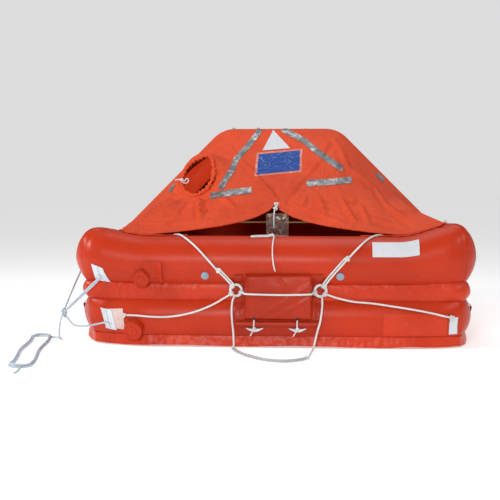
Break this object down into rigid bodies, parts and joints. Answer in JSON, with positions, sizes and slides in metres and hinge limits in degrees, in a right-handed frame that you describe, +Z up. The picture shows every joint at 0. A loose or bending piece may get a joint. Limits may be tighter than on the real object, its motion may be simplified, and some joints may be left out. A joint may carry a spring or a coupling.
{
  "type": "inflatable life raft",
  "caption": "Square inflatable life raft with stacked buoyancy tubes, a peaked canopy on an arch tube, a front entrance, grab lines, a rope boarding ladder and a painter.",
  "frame": {"origin": "on the floor under the raft's middle, at the underside of the raft's floor", "axes": "+Z up; -Y towards the entrance; +X to the right of someone facing the entrance"},
  "size_m": [2.3358, 2.8113, 1.1392],
  "materials": {
    "tube_fabric": "orange-red coated fabric, satin, lightly wrinkled",
    "canopy_cloth": "bright orange coated cloth, matt",
    "floor_fabric": "black coated fabric, matt",
    "white_patch": "white coated fabric, satin",
    "white_rope": "white braided rope, matt",
    "white_plastic": "white plastic, satin",
    "grey_plug": "grey-blue plastic, satin",
    "blue_sign": "blue printed film, satin, blank",
    "clear_vinyl": "clear brownish vinyl, glossy",
    "rung_vinyl": "clear grey vinyl tube, glossy"
  },
  "bodies": {
    "root": {"arch_tube": "tube_fabric", "boarding_pouch": "tube_fabric", "bridle_left": "white_rope", "bridle_right": "white_rope", "canopy_back": "canopy_cloth", "canopy_front": "canopy_cloth", "canopy_tie": "white_rope", "capacity_placard": "blue_sign", "clear_pouch": "clear_vinyl", "connecting_strip": "tube_fabric", "entrance_line": "white_rope", "floor": "floor_fabric", "grab_line_back": "white_rope", "grab_line_front_left": "white_rope", "grab_line_front_right": "white_rope", "grab_line_left": "white_rope", "grab_line_right": "white_rope", "instruction_patch": "tube_fabric", "ladder_line_left": "white_rope", "ladder_line_right": "white_rope", "ladder_rung": "rung_vinyl", "lower_patch_inner": "white_patch", "lower_patch_outer": "white_patch", "lower_tube_back": "tube_fabric", "lower_tube_front": "tube_fabric", "lower_tube_left": "tube_fabric", "lower_tube_right": "tube_fabric", "lower_valve_cap": "tube_fabric", "name_plate": "white_patch", "painter_bridle_lower": "white_rope", "painter_bridle_upper": "white_rope", "painter_hank": "white_rope", "painter_knot": "white_rope", "painter_lead": "white_rope", "painter_patch": "white_patch", "painter_tail": "white_rope", "plug_front_left": "grey_plug", "plug_front_right": "grey_plug", "plug_left": "grey_plug", "plug_right": "grey_plug", "port_rim": "canopy_cloth", "pouch_bar": "tube_fabric", "pouch_panel": "tube_fabric", "right_patch": "white_patch", "ring_left": "white_plastic", "ring_line": "white_rope", "ring_right": "white_plastic", "skirt": "tube_fabric", "toggle_left": "white_plastic", "toggle_right": "white_plastic", "upper_tube_back": "tube_fabric", "upper_tube_front": "tube_fabric", "upper_tube_left": "tube_fabric", "upper_tube_right": "tube_fabric", "upper_valve_cap": "tube_fabric", "valve_hood": "tube_fabric"}
  },
  "joints": []
}
